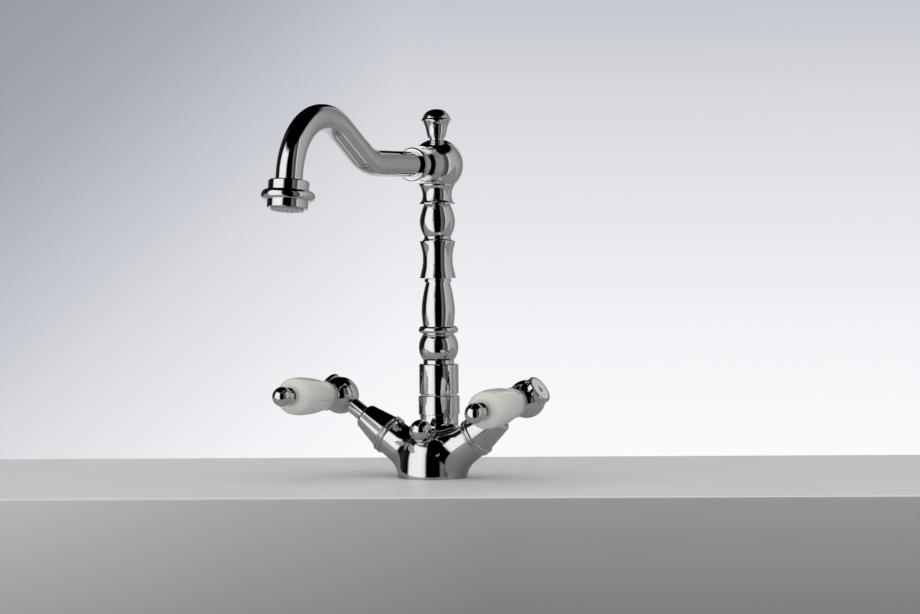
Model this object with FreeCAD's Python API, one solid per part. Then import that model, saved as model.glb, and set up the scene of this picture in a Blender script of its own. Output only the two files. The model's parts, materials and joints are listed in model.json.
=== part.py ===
import FreeCAD, Part
import math
import os
from FreeCAD import Vector

# Basin mixer tap with two lever handles, a turned swivel column and a swan neck spout.
# Millimetres. The origin is the centre of the base face, +Z is up, -Y is the front,
# where the user stands, and the right handle is on the +X side.

# Running gaps and fits
running_gap = 0.35
slip_fit = 0.1
shaft_fit = 0.08
cut_overrun = 1.0

# Cast body: a bell on a round base, with two arms and a boss for the column
base_radius = 25.0
bell_height = 33.0
bell_shares = ((0.98, 0.26), (0.93, 0.55), (0.78, 0.80))
arm_tilt = 34.5
arm_root_inset = 4.2
arm_root_lift = 2.1
arm_length = 28.0
arm_root_radius = 14.6
arm_end_radius = 13.3
arm_blend = 22.0
column_offset = 10.6
boss_radius = 13.9
boss_top = 44.8
boss_root_depth = 41.8
boss_blend = 6.0
seal_groove_outer = 24.0
seal_groove_width = 2.2
seal_thickness = 1.8

# Fixing and water connections in the base
stud_hole_radius = 3.4
stud_hole_depth = 14.0
inlet_radius = 4.5
inlet_depth = 12.0
inlet_spacing = 20.0
inlet_offset = 2.0
waterway_radius = 2.6
mixed_way_offset = 6.0
mixed_way_height = 28.8

# Swivel at the foot of the column
swivel_bore_radius = 9.0
swivel_bore_bottom = 26.0
collar_radius = 14.9
collar_height = 14.1
collar_edge = 0.4
lip_radius = 13.3
lip_height = 0.45
swivel_gap = 0.4
spigot_bottom = 28.5
spigot_hold = 7.0
seal_ring_height = 1.7
seal_ring_depth = 1.8
seal_ring_levels = (33.0, 38.0)
snap_ring_outer = 10.2
snap_ring_inner = 8.0
snap_ring_thickness = 1.3
snap_ring_level = 48.5
snap_ring_split = 3.0

# Tie tube that the turned pieces of the column are threaded on
tie_tube_radius = 5.5
tie_tube_bore = 4.0
tie_tube_bottom = 40.0

# Turned pieces of the column, from the swivel up: heights and largest radii
sleeve_height = 24.7
sleeve_radius = 14.3
sleeve_edge = 0.6
sleeve_neck_height = 2.6
neck_radius = 11.2
lower_ball_height = 18.7
lower_ball_radius = 14.4
lower_ball_shares = ((0.864, 0.1), (0.949, 0.25), (1.0, 0.5), (0.949, 0.75), (0.864, 0.9))
bead_height = 6.5
bead_radius = 14.4
bead_neck_height = 0.55
lower_vase_height = 30.4
lower_vase_radius = 12.1
lower_vase_shares = (
    (0.925, 0.0), (0.965, 0.12), (1.0, 0.356), (0.95, 0.594), (0.90, 0.713), (0.838, 0.832),
    (0.727, 1.0),
)
middle_ring_height = 3.6
middle_ring_radius = 9.8
middle_ring_groove = 1.1
middle_ring_step = 0.7
middle_spool_height = 26.7
middle_spool_radius = 13.0
middle_spool_rim = 1.0
middle_spool_shares = (
    (0.985, 0.0), (0.92, 0.175), (0.855, 0.325), (0.83, 0.48), (0.834, 0.615), (0.87, 0.76),
    (0.94, 0.905), (0.985, 1.0),
)
upper_ring_height = 3.5
upper_ring_radius = 9.7
upper_ring_flare = 11.8
upper_ring_band = 1.3
upper_vase_height = 23.2
upper_vase_radius = 12.8
upper_vase_shares = (
    (0.758, 0.0), (0.914, 0.181), (0.984, 0.341), (1.0, 0.496), (0.953, 0.651), (0.875, 0.806),
    (0.735, 1.0),
)
upper_spool_height = 14.2
upper_spool_radius = 12.9
upper_spool_rim = 0.9
upper_spool_shares = (
    (0.965, 0.0), (0.876, 0.14), (0.822, 0.41), (0.853, 0.68), (0.907, 0.84), (1.0, 1.0),
)

# Ball head and finial
ball_radius = 19.1
ball_bottom_cut = 13.7
ball_top_cut = 18.4
finial_height = 22.0
finial_radius = 11.0
finial_stem_radius = 5.0
finial_stem_height = 0.8
finial_cup_shares = ((0.555, 0.055), (0.627, 0.168), (0.691, 0.332), (0.80, 0.50), (0.89, 0.575))
finial_rim_shares = ((1.0, 0.62), (1.0, 0.65), (0.93, 0.69))
finial_dome_shares = (
    (0.93, 0.69), (0.885, 0.745), (0.79, 0.83), (0.59, 0.927), (0.31, 0.986), (0.0, 1.0),
)
finial_screw_radius = 2.5
finial_screw_length = 7.0

# Socket, lock ring and nut that hold the spout on the ball
spout_boss_radius = 13.25
spout_boss_end = 24.5
spout_socket_depth = 10.0
lock_ring_radius = 12.3
lock_ring_width = 2.7
nut_radius = 11.2
nut_width = 10.5
nut_rim_radius = 11.8
nut_rim_width = 2.3

# Swan neck spout tube, as runs and bends along its centre line
spout_radius = 9.16
spout_wall = 1.4
spout_run = 86.5
spout_lift_bend = 47.8
spout_lift_angle = 31.55
spout_lift_length = 30.5
spout_crown_bend = 44.4
outlet_tilt = 8.0
spout_drop_length = 14.9

# Outlet socket, ring and aerator, measured along the outlet from the ring's middle plane
outlet_ring_radius = 18.15
outlet_ring_section = 3.4
outlet_socket_radius = 13.8
outlet_socket_height = 6.7
outlet_socket_edge = 0.8
outlet_tube_seat = 1.3
aerator_thread_radius = 12.0
aerator_thread_length = 3.8
aerator_housing_height = 5.25
aerator_bore_radius = 11.0
aerator_lip = 0.5
aerator_insert_radius = 10.85
aerator_insert_height = 7.2
aerator_insert_proud = 1.2
aerator_plate = 1.6
aerator_hole_radius = 1.05
aerator_hole_pitch = 3.4
aerator_hole_rings = 2
aerator_washer_thickness = 1.2
aerator_washer_bore = 7.5

# Ring and bonnet on each arm, measured along the arm from the ring's middle plane
ring_radius = 14.7
ring_width = 5.2
ring_edge = 1.3
ring_groove = 0.8
bonnet_length = 21.9
bonnet_root_radius = 13.4
bonnet_top_radius = 9.5
bonnet_shoulder = 2.7
bonnet_wall = 1.9

# Ceramic disc valve inside each arm
valve_bore_radius = 8.5
valve_bore_depth = 17.5
valve_flange_radius = 10.4
valve_flange_height = 4.0
valve_neck_radius = 6.4
valve_neck_height = 14.0
valve_foot_wall = 1.5
disc_radius = 6.8
disc_thickness = 2.4
disc_port_radius = 1.6
disc_port_offset = 3.4
disc_gap = 0.05
valve_seal_thickness = 1.2
valve_seal_wall = 2.2
spindle_radius = 3.9
spindle_top = 35.4

# Handle hub and index cap, measured along the stem from the hub's centre
hub_distance = 49.06
hub_radius = 13.53
stem_radius = 5.75
stem_cover = 2.0
cap_radius = 10.3
cap_seat = 8.4
cap_height = 4.9
cap_neck_radius = 9.5
cap_neck_height = 2.1
cap_edge = 0.6
cap_spigot_radius = 6.5
cap_spigot_length = 3.0
index_radius = 8.4
index_thickness = 1.6
index_sink = 0.15
handle_screw_radius = 2.0
handle_screw_length = 12.0
handle_screw_head_radius = 3.8
handle_screw_head_height = 2.4
handle_screw_socket = 1.5

# Lever, measured from the hub's centre: flange, porcelain grip, ferrule and ball tip
lever_seat = 12.3
lever_neck_radius = 5.6
flange_radius = 10.8
flange_start = 22.2
flange_edge = 1.3
grip_start = 24.2
grip_length = 50.4
grip_radius = 13.6
grip_shares = (
    (0.66, 0.0), (0.755, 0.08), (0.85, 0.21), (0.945, 0.40), (0.99, 0.60), (1.0, 0.745),
    (0.965, 0.875), (0.88, 0.955), (0.72, 0.992), (0.50, 1.0),
)
ferrule_radius = 6.4
ferrule_length = 5.9
ferrule_neck_radius = 4.2
ferrule_band = 2.7
ferrule_cove = 0.45
tip_radius = 7.03
tip_distance = 86.2
lever_stud_radius = 2.5
lever_stud_root = 6.0
lever_rest_tilt_left = 2.9
lever_rest_tilt_right = 4.1

# Waste lift rod with its ball knob, in front of the column
lift_offset = 17.6
lift_ball_radius = 8.1
lift_ball_rise = 1.6
lift_rod_radius = 2.0
lift_rod_bottom = 3.0
lift_rod_hold = 6.0
lift_guide_radius = 3.1
lift_guide_top = 13.0
lift_guide_length = 10.0

up = Vector(0, 0, 1)
centre = Vector(0, 0, 0)
os.makedirs("parts", exist_ok=True)


def straight(start, end):
    """A straight edge between two (radius, height) points."""
    return Part.LineSegment(Vector(start[0], 0, start[1]), Vector(end[0], 0, end[1])).toShape()


def bow(start, middle, end):
    """A circular edge through three (radius, height) points."""
    points = [Vector(radius, 0, height) for radius, height in (start, middle, end)]
    return Part.Arc(*points).toShape()


def smooth(points):
    """A flowing edge through (radius, height) points."""
    curve = Part.BSplineCurve()
    curve.interpolate([Vector(radius, 0, height) for radius, height in points])
    return curve.toShape()


def chain(*points):
    """Straight edges from point to point."""
    return [straight(start, end) for start, end in zip(points, points[1:])]


def scaled(shares, radius, height, lift=0.0):
    """Outline points from their shares of a radius and a height."""
    return [(radius * across, lift + height * along) for across, along in shares]


def turned(edges, bore=0.0):
    """A turned piece: the outline, closed along its bore or its axis, spun about Z."""
    start = edges[0].firstVertex(True).Point
    end = edges[-1].lastVertex(True).Point
    inner_end = (bore, end.z)
    inner_start = (bore, start.z)
    closing = []
    if end.x > bore:
        closing.append(straight((end.x, end.z), inner_end))
    closing.append(straight(inner_end, inner_start))
    if start.x > bore:
        closing.append(straight(inner_start, (start.x, start.z)))
    face = Part.Face(Part.Wire(edges + closing))
    return face.revolve(centre, up, 360)


def plug(radius, bottom, top):
    """A plain cylinder on Z."""
    return Part.makeCylinder(radius, top - bottom, Vector(0, 0, bottom))


def tube(outer, inner, bottom, top):
    """A plain ring on Z."""
    return plug(outer, bottom, top).cut(plug(inner, bottom, top))


def drilling(start, end, radius):
    """A drilled way between two points."""
    way = end - start
    return Part.makeCylinder(radius, way.Length, start, way)


def moved(shape, offset):
    """A copy set down at an offset."""
    copy = shape.copy()
    copy.translate(offset)
    return copy


def turned_to(shape, axis, angle, offset=centre):
    """A copy turned about an axis through the origin and then set down at an offset."""
    copy = shape.copy()
    copy.rotate(centre, axis, angle)
    copy.translate(offset)
    return copy


def save(name, solids):
    """Write one named piece, or one group of like pieces."""
    shape = solids[0] if len(solids) == 1 else Part.makeCompound(solids)
    shape.exportStep("parts/" + name + ".step")


# Places that several pieces share
column = Vector(0, column_offset, 0)
collar_top = boss_top + collar_height
column_foot = collar_top + swivel_gap
arm_direction = Vector(math.cos(math.radians(arm_tilt)), 0, math.sin(math.radians(arm_tilt)))
arm_root_reach = base_radius - arm_root_inset - arm_root_radius * arm_direction.z
arm_root_height = arm_root_lift + arm_root_radius * arm_direction.x
arm_ring_reach = arm_root_reach + arm_length * arm_direction.x
arm_ring_height = arm_root_height + arm_length * arm_direction.z
lift_ball_height = bell_height + lift_ball_rise
tie_bore = tie_tube_radius + slip_fit
spout_hold = spout_radius + slip_fit


def on_column(shape, level=0.0):
    """Set a piece on the column's axis, at a level above the base."""
    return moved(shape, column + Vector(0, 0, level))


def on_arm(shape, side, along=0.0):
    """Stand a piece on the arm at one side, a distance out from the ring's middle plane."""
    direction = Vector(side * arm_direction.x, 0, arm_direction.z)
    foot = Vector(side * arm_ring_reach, 0, arm_ring_height)
    return turned_to(shape, Vector(0, 1, 0), side * (90 - arm_tilt), foot + direction * along)


def on_lever(shape, side):
    """Lay a piece that stands on Z along the lever at one side, from the hub's centre."""
    rest_turn = lever_rest_tilt_right if side > 0 else lever_rest_tilt_left
    level = turned_to(shape, Vector(1, 0, 0), 90)
    return on_arm(turned_to(level, up, rest_turn), side, hub_distance)


# Cast body


def kind(edge):
    """The curve under an edge; a pole of a turned face has none."""
    return edge.Curve.TypeId if edge.Length > shaft_fit else "pole"


def bell():
    """The round base, drawn in to a domed top."""
    curve = Part.BSplineCurve()
    points = [Vector(base_radius * across, 0, bell_height * along) for across, along in bell_shares]
    curve.interpolate(
        [Vector(base_radius, 0, 0)] + points + [Vector(0, 0, bell_height)],
        InitialTangent=Vector(0, 0, 1),
        FinalTangent=Vector(-1, 0, 0),
    )
    return turned([curve.toShape()])


def arm(side):
    """One tapered arm, from inside the bell to the valve's seat, its seam turned to the side."""
    root = Part.makeCone(arm_root_radius, arm_end_radius, arm_length - ring_width / 2)
    root.rotate(Vector(0, 0, 0), Vector(0, 0, 1), 90)
    return on_arm(root, side, -arm_length)


def joins(shape, test):
    """The edges where two fused forms meet, picked by a test on points along them."""
    found = []
    for edge in shape.Edges:
        if kind(edge) == "Part::GeomBSplineCurve":
            if all(test(point) for point in edge.discretize(5)):
                found.append(edge)
    return found


def on_boss_wall(point):
    """Whether a point lies on the wall of the column's boss."""
    reach = math.hypot(point.x, point.y - column_offset)
    return abs(reach - boss_radius) < shaft_fit / 4 and point.z < boss_top - shaft_fit


def spans(edge):
    """How far an edge reaches across the body, which a seam of the boss doesn't."""
    return edge.BoundBox.XLength


def mixer_body():
    """The one casting: bell, arms and column boss, blended, then bored for valves and water."""
    joined = bell().fuse([arm(-1), arm(1)]).removeSplitter()
    joined = joined.makeFillet(arm_blend, joins(joined, lambda point: True))
    boss = on_column(plug(boss_radius, boss_top - boss_root_depth, boss_top))
    joined = joined.fuse(boss).removeSplitter()
    meeting = [edge for edge in joins(joined, on_boss_wall) if spans(edge) > shaft_fit]
    joined = joined.makeFillet(boss_blend, meeting)

    cuts = [on_column(plug(swivel_bore_radius, swivel_bore_bottom, boss_top + cut_overrun))]
    groove_inner = seal_groove_outer - seal_groove_width
    cuts.append(tube(seal_groove_outer, groove_inner, -cut_overrun, seal_thickness))
    cuts.append(on_column(plug(stud_hole_radius, -cut_overrun, stud_hole_depth)))
    lift = Vector(0, -lift_offset, 0)
    cuts.append(moved(plug(lift_rod_radius + running_gap, 0, bell_height), lift))
    cuts.append(moved(plug(lift_guide_radius, -cut_overrun, lift_guide_top), lift))
    knob_seat = Part.makeSphere(lift_ball_radius + running_gap)
    cuts.append(moved(knob_seat, lift + Vector(0, 0, lift_ball_height)))
    for side in (-1, 1):
        seat = -ring_width / 2
        bore = plug(valve_bore_radius, seat - valve_bore_depth, seat + cut_overrun)
        cuts.append(on_arm(bore, side))
        inlet = Vector(side * inlet_spacing / 2, -inlet_offset, 0)
        cuts.append(moved(plug(inlet_radius, -cut_overrun, inlet_depth), inlet))
        floor = arm_point(side, seat - valve_bore_depth + waterway_radius)
        inlet_end = inlet + Vector(0, 0, inlet_depth - waterway_radius)
        cuts.append(drilling(inlet_end, floor, waterway_radius))
        chamber = arm_point(side, seat - valve_bore_depth / 2)
        outlet = Vector(chamber.x, mixed_way_offset, mixed_way_height)
        cuts.append(drilling(Vector(0, mixed_way_offset, mixed_way_height), outlet, waterway_radius))
    return joined.cut(cuts)


def arm_point(side, along):
    """A point on an arm's axis."""
    reach = arm_ring_reach + arm_direction.x * along
    return Vector(side * reach, 0, arm_ring_height + arm_direction.z * along)


def base_seal():
    """The flat rubber ring let into the base face."""
    return tube(seal_groove_outer, seal_groove_outer - seal_groove_width, 0, seal_thickness)


# Swivel joint


def swivel_collar():
    """The fixed collar over the boss, bored for the spigot, with a recess for its snap ring."""
    body = turned(
        chain(
            (collar_radius - collar_edge, 0),
            (collar_radius, collar_edge),
            (collar_radius, collar_height - lip_height - collar_edge),
            (collar_radius - collar_edge, collar_height - lip_height),
            (lip_radius, collar_height - lip_height),
            (lip_radius, collar_height),
        ),
        swivel_bore_radius,
    )
    bottom = snap_ring_level - boss_top - running_gap
    top = bottom + snap_ring_thickness + 2 * running_gap
    recess = plug(snap_ring_outer + running_gap, bottom, top)
    return on_column(body.cut(recess), boss_top)


def swivel_spigot():
    """The brass spigot under the column, grooved for two seals and a snap ring."""
    radius = swivel_bore_radius - shaft_fit
    body = tube(radius, tie_bore, spigot_bottom, column_foot + spigot_hold)
    grooves = []
    for level in seal_ring_levels:
        top = level + seal_ring_height + slip_fit
        root = radius - seal_ring_depth
        grooves.append(tube(swivel_bore_radius + cut_overrun, root, level - slip_fit, top))
    ring_bottom = snap_ring_level - slip_fit
    ring_top = snap_ring_level + snap_ring_thickness + slip_fit
    grooves.append(tube(swivel_bore_radius + cut_overrun, snap_ring_inner, ring_bottom, ring_top))
    return on_column(body.cut(grooves))


def swivel_seals():
    """Two square rubber rings in the spigot's grooves, which just clear the bore."""
    outer = swivel_bore_radius - shaft_fit
    ring = tube(outer, outer - seal_ring_depth + slip_fit, 0, seal_ring_height)
    return [on_column(ring, level) for level in seal_ring_levels]


def swivel_snap_ring():
    """The split spring ring that keeps the spigot in the collar."""
    top = snap_ring_level + snap_ring_thickness
    ring = tube(snap_ring_outer, snap_ring_inner + slip_fit, snap_ring_level, top)
    split = Part.makeBox(
        snap_ring_split,
        snap_ring_outer + cut_overrun,
        snap_ring_thickness,
        Vector(-snap_ring_split / 2, 0, snap_ring_level),
    )
    return on_column(ring.cut(split))


# Turned pieces of the column


def column_sleeve():
    """The plain sleeve on the swivel, with a lip at its foot and a neck at its top."""
    shoulder = sleeve_height - sleeve_neck_height
    body = turned(
        chain(
            (lip_radius, 0),
            (lip_radius, lip_height),
            (sleeve_radius - collar_edge, lip_height),
            (sleeve_radius, lip_height + collar_edge),
            (sleeve_radius, shoulder - sleeve_edge),
            (sleeve_radius - sleeve_edge, shoulder),
            (neck_radius, shoulder),
            (neck_radius, sleeve_height),
        ),
        tie_bore,
    )
    return body.cut(plug(swivel_bore_radius + slip_fit, -cut_overrun, spigot_hold))


def lower_ball():
    """The barrel shaped ball above the sleeve."""
    barrel = scaled(lower_ball_shares, lower_ball_radius, lower_ball_height)
    outline = smooth([(neck_radius, 0)] + barrel + [(neck_radius, lower_ball_height)])
    return turned([outline], tie_bore)


def column_bead():
    """The round bead between two short necks."""
    top = bead_height - bead_neck_height
    rounding = bow((neck_radius, bead_neck_height), (bead_radius, bead_height / 2), (neck_radius, top))
    outline = [straight((neck_radius, 0), (neck_radius, bead_neck_height)), rounding]
    outline.append(straight((neck_radius, top), (neck_radius, bead_height)))
    return turned(outline, tie_bore)


def lower_vase():
    """The long vase that narrows upwards."""
    outline = smooth(scaled(lower_vase_shares, lower_vase_radius, lower_vase_height))
    return turned([outline], tie_bore)


def middle_ring():
    """The small stepped ring under the middle spool."""
    step = middle_ring_radius - middle_ring_groove
    outline = chain(
        (step, 0),
        (step, middle_ring_step),
        (middle_ring_radius, middle_ring_step),
        (middle_ring_radius, middle_ring_height - middle_ring_step),
        (step, middle_ring_height - middle_ring_step / 2),
        (step, middle_ring_height),
    )
    return turned(outline, tie_bore)


def spool(radius, height, rim, shares):
    """A waisted spool with a thin straight rim at its foot."""
    curve = scaled(shares, radius, height - 2 * rim, rim)
    outline = chain((radius, 0), (radius, rim), curve[0])
    outline.append(smooth(curve))
    outline.append(straight(curve[-1], (curve[-1][0], height)))
    return turned(outline, tie_bore)


def upper_ring():
    """The hollowed ring between the middle spool and the upper vase."""
    band = upper_ring_height - upper_ring_band
    hollow = bow(
        (upper_ring_flare, 0),
        ((upper_ring_radius * 3 + upper_ring_flare) / 4, band / 2),
        (upper_ring_radius, band),
    )
    outline = [hollow, straight((upper_ring_radius, band), (upper_ring_radius, upper_ring_height))]
    return turned(outline, tie_bore)


def upper_vase():
    """The short full vase under the upper spool."""
    outline = smooth(scaled(upper_vase_shares, upper_vase_radius, upper_vase_height))
    return turned([outline], tie_bore)


column_stack = (
    ("column_sleeve", column_sleeve(), sleeve_height),
    ("lower_ball", lower_ball(), lower_ball_height),
    ("column_bead", column_bead(), bead_height),
    ("lower_vase", lower_vase(), lower_vase_height),
    ("middle_ring", middle_ring(), middle_ring_height),
    (
        "middle_spool",
        spool(middle_spool_radius, middle_spool_height, middle_spool_rim, middle_spool_shares),
        middle_spool_height,
    ),
    ("upper_ring", upper_ring(), upper_ring_height),
    ("upper_vase", upper_vase(), upper_vase_height),
    (
        "upper_spool",
        spool(upper_spool_radius, upper_spool_height, upper_spool_rim, upper_spool_shares),
        upper_spool_height,
    ),
)
column_top = column_foot + sum(height for name, piece, height in column_stack)
ball_height = column_top + ball_bottom_cut


# Ball head, finial and spout


def on_ball(shape):
    """Lay a piece that stands on Z along the spout's root, from the ball's centre."""
    return turned_to(shape, Vector(1, 0, 0), 90, column + Vector(0, 0, ball_height))


def ball_head():
    """The hollow ball, cut flat below and above, with the spout's boss at the front."""
    ball = Part.makeSphere(ball_radius)
    ball = ball.common(plug(ball_radius + cut_overrun, -ball_bottom_cut, ball_top_cut))
    ball = moved(ball, column + Vector(0, 0, ball_height))
    boss = on_ball(plug(spout_boss_radius, 0, spout_boss_end))
    head = ball.fuse(boss).removeSplitter()
    screw_bottom = ball_top_cut - finial_screw_length
    cuts = [
        on_column(plug(tie_bore, -cut_overrun, ball_bottom_cut - tie_tube_radius), column_top),
        on_column(plug(tie_tube_bore, 0, ball_bottom_cut), column_top),
        on_ball(plug(spout_radius - spout_wall, 0, spout_boss_end + cut_overrun)),
        on_ball(plug(spout_hold, spout_boss_end - spout_socket_depth, spout_boss_end + cut_overrun)),
        on_column(plug(finial_screw_radius, screw_bottom, ball_top_cut + cut_overrun), ball_height),
    ]
    return head.cut(cuts)


def tie_tube():
    """The tube that ties the column together and carries the mixed water up."""
    top = column_top + ball_bottom_cut - tie_tube_radius
    return on_column(tube(tie_tube_radius, tie_tube_bore, tie_tube_bottom, top))


def finial():
    """The turned finial, with the screw that holds it in the ball."""
    cup = scaled(finial_cup_shares, finial_radius, finial_height)
    rim = scaled(finial_rim_shares, finial_radius, finial_height)
    dome = scaled(finial_dome_shares, finial_radius, finial_height)
    screw = finial_screw_radius - slip_fit
    outline = chain(
        (screw, -finial_screw_length + slip_fit),
        (screw, 0),
        (finial_stem_radius, 0),
        (finial_stem_radius, finial_stem_height),
        cup[0],
    )
    outline.append(smooth(cup))
    outline += chain(cup[-1], *rim)
    outline.append(smooth(dome))
    return on_column(turned(outline), ball_height + ball_top_cut)


def spout_lock_ring():
    """The stepped ring between the boss and the nut."""
    end = spout_boss_end + lock_ring_width
    middle = spout_boss_end + lock_ring_width / 2
    outline = chain(
        (spout_boss_radius - slip_fit, spout_boss_end),
        (spout_boss_radius - slip_fit, middle),
        (lock_ring_radius, middle),
        (lock_ring_radius, end),
    )
    return on_ball(turned(outline, spout_hold))


def spout_nut():
    """The round nut on the spout's root, with a rolled rim."""
    start = spout_boss_end + lock_ring_width
    end = start + nut_width
    rim = end - nut_rim_width
    outline = chain((nut_radius, start), (nut_radius, rim))
    outline.append(straight((nut_radius, rim), (nut_rim_radius, rim + nut_rim_width / 4)))
    outline.append(
        bow(
            (nut_rim_radius, rim + nut_rim_width / 4),
            (nut_rim_radius + nut_rim_width / 8, rim + nut_rim_width / 2),
            (nut_rim_radius, end - nut_rim_width / 4),
        )
    )
    outline.append(straight((nut_rim_radius, end - nut_rim_width / 4), (nut_radius, end)))
    return on_ball(turned(outline, spout_hold))


def heading(angle):
    """The direction at an angle above the horizontal, forwards along the spout."""
    return Vector(0, -math.cos(math.radians(angle)), math.sin(math.radians(angle)))


def bend(start, angle, turn, radius):
    """A bend's edge, its end point and its end angle; a positive turn bends upwards."""
    sign = 1 if turn > 0 else -1
    normal = heading(angle + sign * 90)
    middle_point = start + normal * radius

    def at(angle_turned):
        return middle_point - heading(angle + angle_turned + sign * 90) * radius

    end = at(turn)
    return Part.Arc(start, at(turn / 2), end).toShape(), end, angle + turn


def spout_path():
    """The spout's centre line, and the middle point of the outlet ring on it."""
    root = column + Vector(0, 0, ball_height)
    start = root + heading(0) * (spout_boss_end - spout_socket_depth)
    foot = root + heading(0) * spout_run
    edges = [Part.LineSegment(start, foot).toShape()]
    lift, lift_end, angle = bend(foot, 0, spout_lift_angle, spout_lift_bend)
    edges.append(lift)
    crown_start = lift_end + heading(angle) * spout_lift_length
    edges.append(Part.LineSegment(lift_end, crown_start).toShape())
    crown_turn = outlet_tilt - 90 - angle
    crown, crown_end, angle = bend(crown_start, angle, crown_turn, spout_crown_bend)
    edges.append(crown)
    tip = crown_end + heading(angle) * (spout_drop_length - outlet_tube_seat)
    edges.append(Part.LineSegment(crown_end, tip).toShape())
    return Part.Wire(edges), crown_end + heading(angle) * spout_drop_length


outlet_path, outlet_centre = spout_path()


def swept(radius):
    """A round bar along the spout's centre line."""
    start = outlet_path.OrderedVertexes[0].Point
    ring = Part.Wire(Part.Circle(start, heading(0), radius).toShape())
    return outlet_path.makePipeShell([ring], True, True)


def spout_tube():
    """The bent tube, open at both ends."""
    return swept(spout_radius).cut(swept(spout_radius - spout_wall))


def at_outlet(shape):
    """Hang a piece that stands on Z at the outlet, with +Z along the flow."""
    return turned_to(shape, Vector(1, 0, 0), 180 - outlet_tilt, outlet_centre)


def outlet_socket():
    """The short cylinder where the tube enters the outlet."""
    bottom = -outlet_ring_section
    top = bottom - outlet_socket_height
    outline = chain(
        (outlet_socket_radius - outlet_socket_edge, top),
        (outlet_socket_radius, top + outlet_socket_edge),
        (outlet_socket_radius, bottom),
    )
    return at_outlet(turned(outline, spout_hold))


def outlet_ring():
    """The half round ring, bored for the tube above and for the aerator's thread below."""
    core = outlet_ring_radius - outlet_ring_section
    rounding = bow(
        (core, -outlet_ring_section), (outlet_ring_radius, 0), (core, outlet_ring_section)
    )
    ring = turned([rounding], spout_radius - spout_wall)
    seat = outlet_ring_section - aerator_thread_length
    cuts = [
        plug(spout_hold, -outlet_ring_section - cut_overrun, -outlet_tube_seat),
        plug(aerator_thread_radius + slip_fit, seat, outlet_ring_section + cut_overrun),
    ]
    return at_outlet(ring.cut(cuts))


def aerator_housing():
    """The threaded sleeve under the ring, with an inner lip that carries the insert."""
    bottom = outlet_ring_section + aerator_housing_height
    thread_top = outlet_ring_section - aerator_thread_length + aerator_washer_thickness
    outline = chain(
        (aerator_thread_radius, thread_top),
        (aerator_thread_radius, outlet_ring_section),
        (outlet_socket_radius, outlet_ring_section),
        (outlet_socket_radius, bottom - aerator_lip),
        (outlet_socket_radius - aerator_lip, bottom),
    )
    return at_outlet(turned(outline, aerator_bore_radius))


def aerator_washer():
    """The rubber washer above the aerator."""
    top = outlet_ring_section - aerator_thread_length
    washer = tube(aerator_thread_radius, aerator_washer_bore, top, top + aerator_washer_thickness)
    return at_outlet(washer)


def aerator_insert():
    """The jet cup: a shell whose foot plate is pierced in rings of holes."""
    bottom = outlet_ring_section + aerator_housing_height + aerator_insert_proud
    top = bottom - aerator_insert_height
    cup = plug(aerator_insert_radius, top, bottom)
    bore = aerator_insert_radius - aerator_plate
    cuts = [plug(bore, top - cut_overrun, bottom - aerator_plate)]
    hole = plug(aerator_hole_radius, bottom - aerator_plate - cut_overrun, bottom + cut_overrun)
    cuts.append(hole)
    for ring in range(1, aerator_hole_rings + 1):
        for step in range(6 * ring):
            turn = math.radians(60 * step / ring)
            reach = Vector(math.cos(turn), math.sin(turn), 0) * (aerator_hole_pitch * ring)
            cuts.append(moved(hole, reach))
    return at_outlet(cup.cut(cuts))


# Arm rings, bonnets and valves


def arm_ring(side):
    """The double ring at an arm's end, around the valve's flange."""
    half = ring_width / 2
    dip = ring_radius - ring_groove
    outline = [
        straight((ring_radius - ring_edge, -half), (ring_radius - ring_edge / 2, -half)),
        bow(
            (ring_radius - ring_edge / 2, -half),
            (ring_radius, -half / 2),
            (dip, -ring_groove / 4),
        ),
        straight((dip, -ring_groove / 4), (dip, ring_groove / 4)),
        bow(
            (dip, ring_groove / 4),
            (ring_radius, half / 2),
            (ring_radius - ring_edge / 2, half),
        ),
        straight((ring_radius - ring_edge / 2, half), (ring_radius - ring_edge, half)),
    ]
    return on_arm(turned(outline, valve_flange_radius + slip_fit), side)


def bonnet(side):
    """The tapered sleeve over the valve, rounded in to the stem."""
    start = ring_width / 2
    end = start + bonnet_length
    shoulder = end - bonnet_shoulder
    lean = bonnet_shoulder * (1 - math.sqrt(0.5))
    outline = [
        straight((bonnet_root_radius, start), (bonnet_top_radius, shoulder)),
        bow(
            (bonnet_top_radius, shoulder),
            (bonnet_top_radius - lean, end - lean),
            (bonnet_top_radius - bonnet_shoulder, end),
        ),
    ]
    hole = stem_radius + running_gap
    shell = turned(outline, hole)
    cavity = Part.makeCone(
        bonnet_root_radius - bonnet_wall,
        bonnet_top_radius - bonnet_wall,
        bonnet_length - bonnet_shoulder,
        Vector(0, 0, start),
    )
    return on_arm(shell.cut(cavity), side)


valve_seat = -ring_width / 2
valve_foot = valve_seat - valve_bore_depth + valve_seal_thickness
fixed_disc_bottom = valve_foot + valve_foot_wall
moving_disc_bottom = fixed_disc_bottom + disc_thickness + disc_gap
moving_disc_top = moving_disc_bottom + disc_thickness


def cartridge(side):
    """The brass valve body: foot, disc chamber, flange and neck for the spindle."""
    flange_top = valve_seat + valve_flange_height
    body_radius = valve_bore_radius - slip_fit
    body = turned(
        chain(
            (body_radius, valve_foot),
            (body_radius, valve_seat),
            (valve_flange_radius, valve_seat),
            (valve_flange_radius, flange_top),
            (valve_neck_radius, flange_top),
            (valve_neck_radius, flange_top + valve_neck_height),
        ),
        spindle_radius + shaft_fit,
    )
    chamber = plug(disc_radius + running_gap, fixed_disc_bottom, moving_disc_top + running_gap)
    return on_arm(body.cut(chamber), side)


def ports(bottom, top):
    """Two facing ports through a valve disc or seal."""
    hole = plug(disc_port_radius, bottom - cut_overrun, top + cut_overrun)
    return [moved(hole, Vector(disc_port_offset * sign, 0, 0)) for sign in (-1, 1)]


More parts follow.
